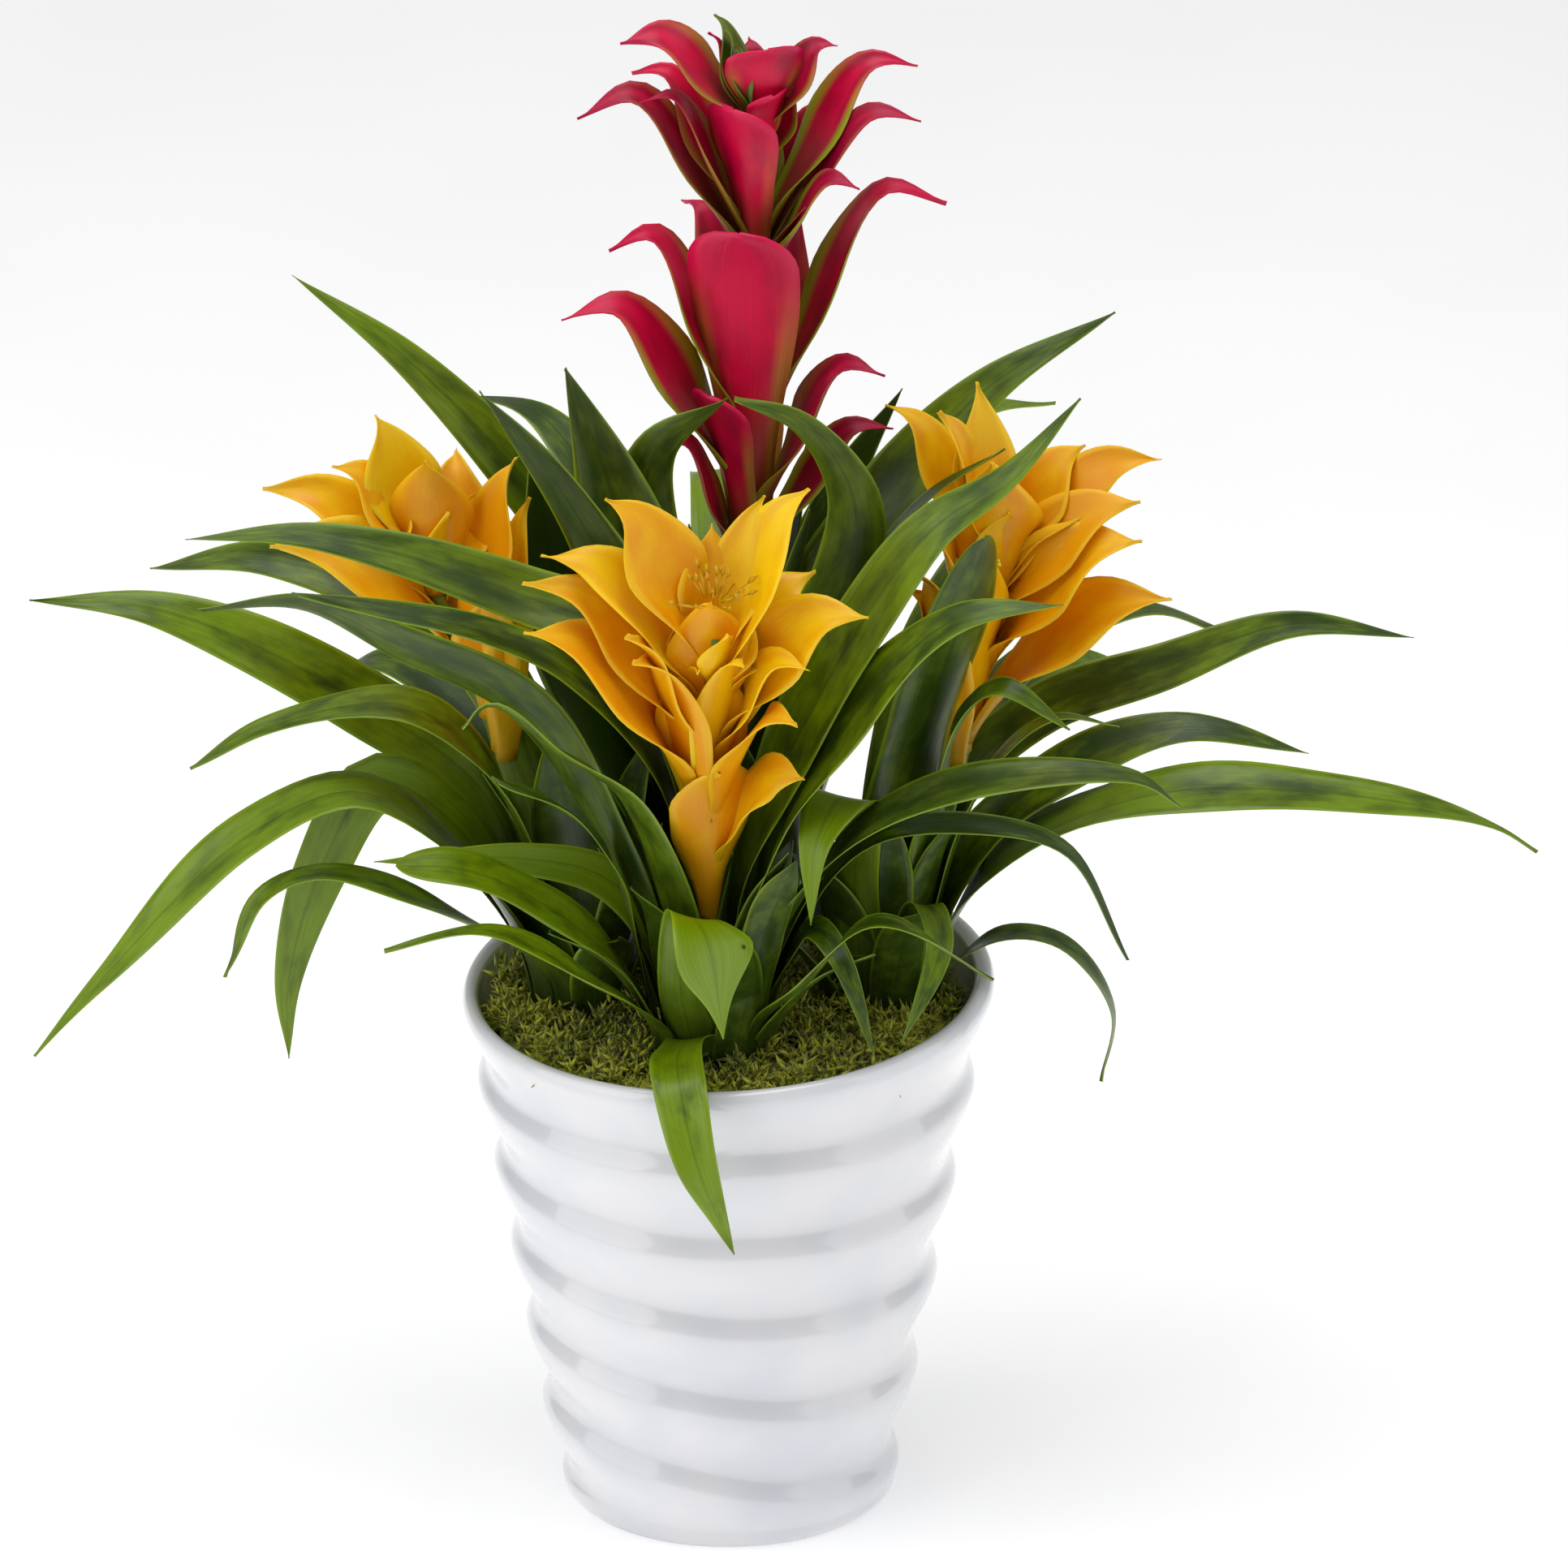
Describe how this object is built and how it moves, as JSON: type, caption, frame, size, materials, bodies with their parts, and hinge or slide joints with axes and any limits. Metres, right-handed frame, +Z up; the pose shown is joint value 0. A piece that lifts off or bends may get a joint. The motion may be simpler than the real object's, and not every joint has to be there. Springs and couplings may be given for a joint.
{
  "type": "potted bromeliad arrangement",
  "caption": "Tall crimson and short yellow bromeliads with arching strap leaves, planted through moss in a wavy-ridged white ceramic vase.",
  "frame": {"origin": "centre of the vase's flat foot, on the surface it stands on", "axes": "+Z up along the vase axis; -Y is the front, where the nearest yellow flower stands; +X to the viewer's right"},
  "size_m": [0.5395, 0.3092, 0.5556],
  "materials": {
    "glazed_ceramic": "gloss",
    "soil": "matte",
    "moss": "matte",
    "leaf": "satin",
    "crimson_bract": "satin",
    "yellow_bract": "satin"
  },
  "bodies": {
    "root": {"crimson_flower_spike": "crimson_bract", "crimson_leaf_back_left": "leaf", "crimson_leaf_back_middle": "leaf", "crimson_leaf_back_right": "leaf", "crimson_leaf_broad_left": "leaf", "crimson_leaf_curved_inner": "leaf", "crimson_leaf_curved_right": "leaf", "crimson_leaf_dark_left": "leaf", "crimson_leaf_glossy_left": "leaf", "crimson_leaf_hidden_right": "leaf", "crimson_leaf_outer_left": "leaf", "crimson_leaf_outer_right": "leaf", "crimson_leaf_twin_lower": "leaf", "crimson_leaf_twin_upper": "leaf", "front_flower_spike": "yellow_bract", "front_leaf_blunt_left": "leaf", "front_leaf_bright_left": "leaf", "front_leaf_broad_right": "leaf", "front_leaf_crossing": "leaf", "front_leaf_curled_left": "leaf", "front_leaf_folded": "leaf", "front_leaf_grey_front": "leaf", "front_leaf_grey_left": "leaf", "front_leaf_grey_right": "leaf", "front_leaf_high_left": "leaf", "front_leaf_low_left": "leaf", "front_leaf_low_right": "leaf", "front_leaf_mid_left": "leaf", "front_leaf_narrow_left": "leaf", "front_leaf_over_rim": "leaf", "front_leaf_tall_right": "leaf", "front_leaf_thin_right": "leaf", "left_flower_spike": "yellow_bract", "left_leaf_back_high": "leaf", "left_leaf_back_low": "leaf", "left_leaf_hanging": "leaf", "left_leaf_inner": "leaf", "left_leaf_long": "leaf", "left_leaf_short": "leaf", "left_leaf_slim": "leaf", "left_leaf_trailing": "leaf", "left_leaf_upper": "leaf", "moss": "moss", "right_flower_spike": "yellow_bract", "right_leaf_back_high": "leaf", "right_leaf_back_low": "leaf", "right_leaf_bent": "leaf", "right_leaf_drooping": "leaf", "right_leaf_folded": "leaf", "right_leaf_high": "leaf", "right_leaf_inner": "leaf", "right_leaf_long": "leaf", "right_leaf_middle": "leaf", "right_leaf_pale_back": "leaf", "right_leaf_round": "leaf", "right_leaf_short": "leaf", "right_leaf_tongue": "leaf", "soil": "soil", "vase": "glazed_ceramic"}
  },
  "joints": []
}
